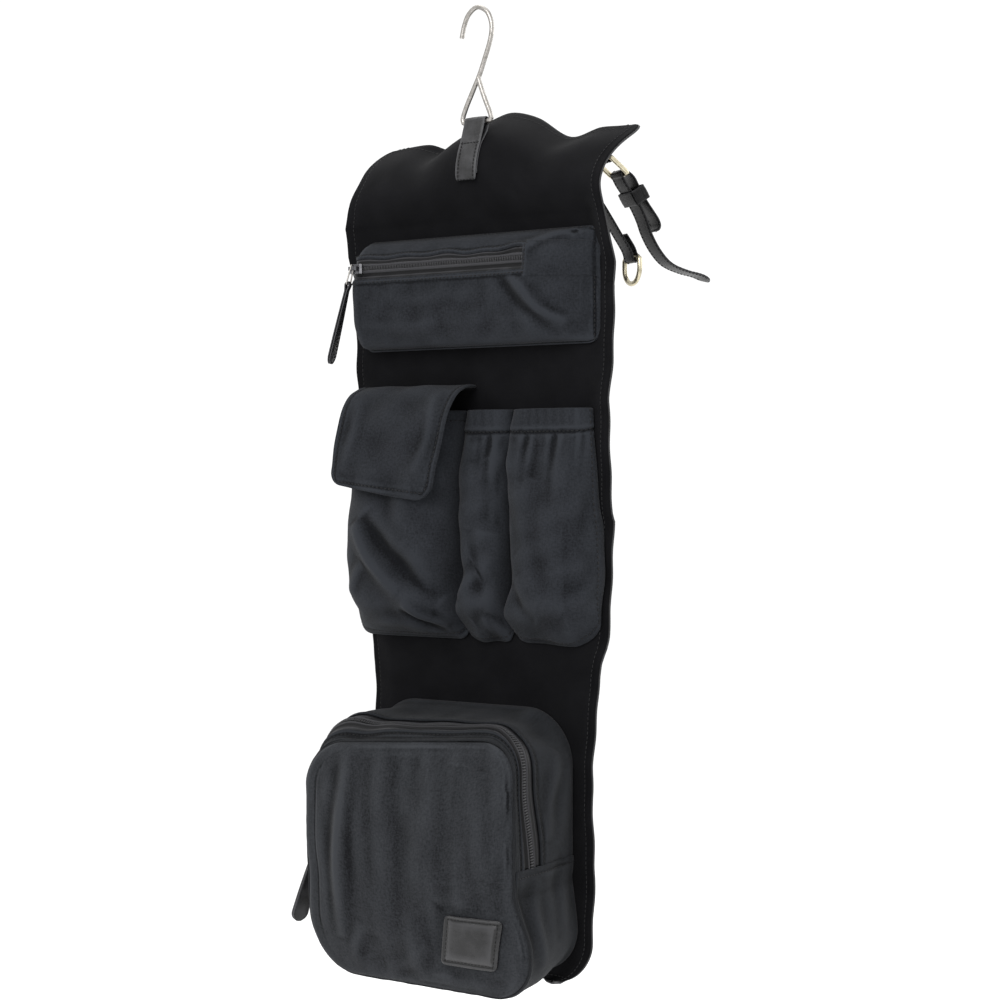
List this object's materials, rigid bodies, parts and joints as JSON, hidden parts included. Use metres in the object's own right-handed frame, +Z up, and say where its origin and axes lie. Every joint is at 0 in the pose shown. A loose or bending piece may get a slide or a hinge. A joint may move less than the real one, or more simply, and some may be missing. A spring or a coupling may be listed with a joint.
{
  "type": "hanging toiletry bag",
  "caption": "Fold-up wash bag hanging open from a wire hook: leather-backed panel with a zipped top pocket, flap and elastic pockets, and a deep zip pouch.",
  "frame": {"origin": "top of the inside of the hook's bend, where it rests on a rail", "axes": "+Z up along the hanging bag, +X to the right when facing the pockets, -Y the way the pockets face"},
  "size_m": [0.304, 0.1868, 0.7418],
  "materials": {
    "steel": "satin nickel-plated wire",
    "brass": "pale plated, satin",
    "leather": "fine grain, semi-matt, painted edges",
    "lining": "matt brushed lining",
    "canvas": "brushed waxed canvas, topstitched",
    "zip": "woven tape with a nylon coil",
    "elastic": "woven elastic and fastening tape"
  },
  "bodies": {
    "hook": {"hanger_hook": "steel"},
    "flap": {"flap_lining": "lining", "flap_shell": "leather", "hanging_strap": "leather", "strap_frame_tab_left": "leather", "strap_frame_tab_right": "leather", "ring_tab_left": "leather", "ring_tab_right": "leather"},
    "closing_strap_left": {"strap_frame_left": "brass", "closure_strap_left": "leather", "strap_keeper_left": "leather"},
    "closing_strap_right": {"strap_frame_right": "brass", "closure_strap_right": "leather", "strap_keeper_right": "leather"},
    "ring_left": {"hanging_ring_left": "brass"},
    "ring_right": {"hanging_ring_right": "brass"},
    "upper": {"upper_lining": "lining", "upper_shell": "leather", "top_pocket_upper": "canvas", "top_pocket_lower": "canvas", "top_zip_tape_upper": "zip", "top_zip_tape_lower": "zip", "top_zip_coil": "zip", "top_zip_end_patch": "canvas"},
    "top_slider": {"top_zip_slider": "zip"},
    "top_pull": {"top_pull_ring": "steel", "top_leather_pull": "leather"},
    "middle": {"middle_lining": "lining", "middle_shell": "leather", "flap_pocket_body": "canvas", "pocket_loop_tape": "elastic", "elastic_pocket_small": "canvas", "elastic_hem_small": "canvas", "elastic_band_small": "elastic", "elastic_pocket_large": "canvas", "elastic_hem_large": "canvas", "elastic_band_large": "elastic"},
    "pocket_flap": {"pocket_flap": "canvas", "flap_hook_tape": "elastic"},
    "lower": {"lower_lining": "lining", "lower_shell": "leather", "pouch_gusset_rear": "canvas", "pouch_gusset_front": "canvas", "pouch_gusset_lower": "canvas", "pouch_zip_tape_rear": "zip", "pouch_zip_tape_front": "zip", "pouch_zip_coil": "zip", "pouch_front_piping": "canvas", "pouch_front": "canvas", "leather_patch": "leather"},
    "pouch_slider": {"pouch_zip_slider": "zip"},
    "pouch_pull": {"pouch_pull_ring": "steel", "pouch_leather_pull": "leather"}
  },
  "joints": [
    {"name": "hook_swing", "type": "hinge", "parent": "hook", "child": "flap", "pos_m": [0, 0, -0.086], "axis": [1, 0, 0], "range_deg": [-20, 25]},
    {"name": "flap_fold", "type": "hinge", "parent": "flap", "child": "upper", "pos_m": [0, 0.004, -0.1605], "axis": [-1, 0, 0], "range_deg": [0, 90]},
    {"name": "upper_fold", "type": "hinge", "parent": "upper", "child": "middle", "pos_m": [0, 0.004, -0.272], "axis": [-1, 0, 0], "range_deg": [0, 75]},
    {"name": "lower_fold", "type": "hinge", "parent": "middle", "child": "lower", "pos_m": [0, 0.004, -0.497], "axis": [-1, 0, 0], "range_deg": [0, 75]},
    {"name": "pocket_flap_lift", "type": "hinge", "parent": "middle", "child": "pocket_flap", "pos_m": [0, 0.0015, -0.288], "axis": [1, 0, 0], "range_deg": [-85, 0]},
    {"name": "top_zip_run", "type": "slide", "parent": "upper", "child": "top_slider", "axis": [1, 0, 0], "range_m": [0, 0.14]},
    {"name": "top_pull_swing", "type": "hinge", "parent": "top_slider", "child": "top_pull", "pos_m": [-0.0995, -0.02893, -0.19523], "axis": [-1, 0, 0], "range_deg": [0, 95]},
    {"name": "pouch_zip_run", "type": "slide", "parent": "lower", "child": "pouch_slider", "axis": [0, 0, 1], "range_m": [0, 0.045]},
    {"name": "pouch_pull_swing", "type": "hinge", "parent": "pouch_slider", "child": "pouch_pull", "pos_m": [-0.10691, -0.05811, -0.634], "axis": [0.3011, 0.9536, 0], "range_deg": [0, 95]},
    {"name": "closing_strap_left_lift", "type": "hinge", "parent": "flap", "child": "closing_strap_left", "pos_m": [-0.10325, 0.01563, -0.121], "axis": [0.866, 0.5, 0], "range_deg": [0, 35]},
    {"name": "closing_strap_right_lift", "type": "hinge", "parent": "flap", "child": "closing_strap_right", "pos_m": [0.10325, 0.01563, -0.121], "axis": [0.866, -0.5, 0], "range_deg": [0, 35]},
    {"name": "ring_left_swing", "type": "hinge", "parent": "flap", "child": "ring_left", "pos_m": [-0.116, 0.03771, -0.1945], "axis": [0.866, 0.5, 0], "range_deg": [-35, 35]},
    {"name": "ring_right_swing", "type": "hinge", "parent": "flap", "child": "ring_right", "pos_m": [0.116, 0.03771, -0.1945], "axis": [0.866, -0.5, 0], "range_deg": [-35, 35]}
  ]
}
